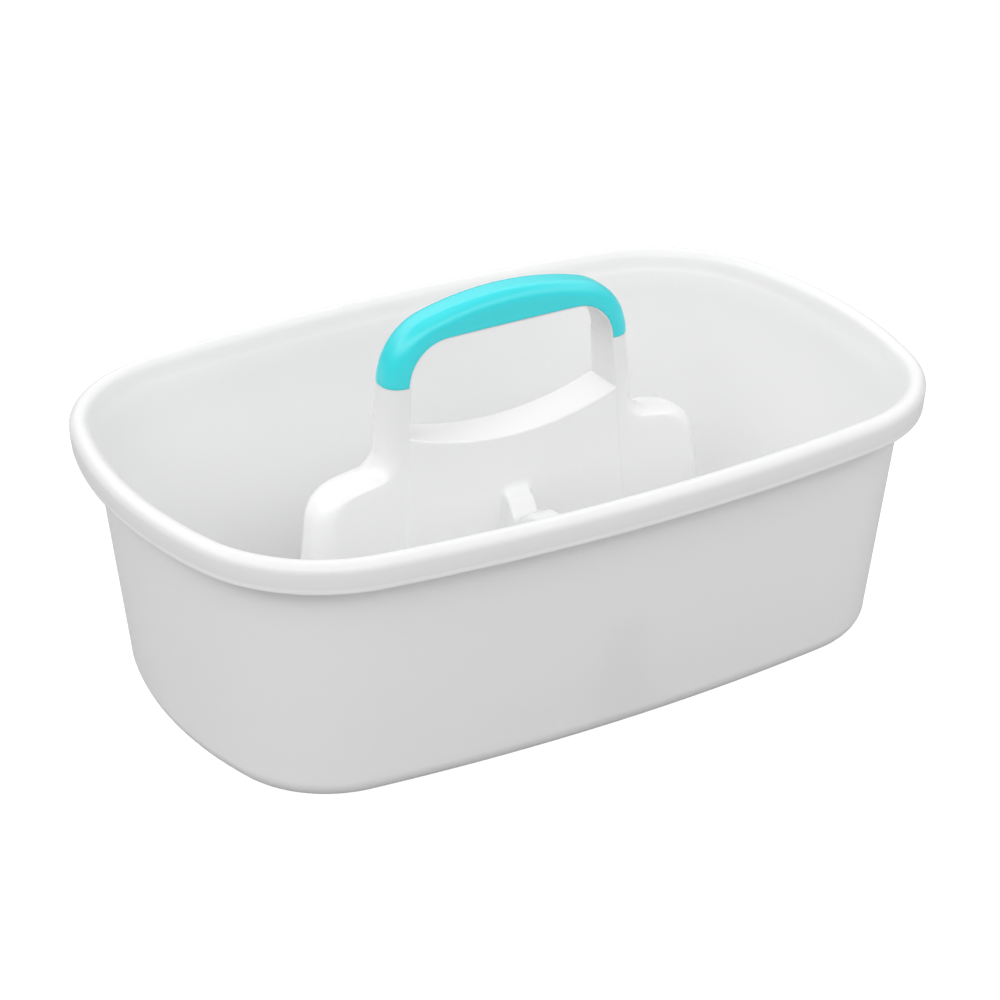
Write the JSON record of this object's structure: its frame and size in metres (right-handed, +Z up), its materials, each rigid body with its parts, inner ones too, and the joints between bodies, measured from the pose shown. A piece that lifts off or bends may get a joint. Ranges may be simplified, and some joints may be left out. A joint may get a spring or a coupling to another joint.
{
  "type": "cleaning caddy",
  "caption": "Open carrying caddy with bowed sides and a rolled rim, a hollow centre divider with low cross fins, and a raised handle with a coloured grip cover.",
  "frame": {"origin": "on the ground under the middle of the tub", "axes": "+X along the tub's length and the handle, +Y across it, +Z up"},
  "size_m": [0.4, 0.259, 0.1856],
  "materials": {
    "tub_white": "smooth, slightly translucent polypropylene with a soft gloss",
    "divider_white": "smooth, slightly translucent polypropylene with a soft gloss",
    "bridge_white": "smooth polypropylene with a soft gloss",
    "grip_aqua": "smooth moulded plastic with a soft satin gloss"
  },
  "bodies": {
    "root": {"tub": "tub_white", "divider": "divider_white", "handle_bridge": "bridge_white", "grip_cover": "grip_aqua"}
  },
  "joints": []
}
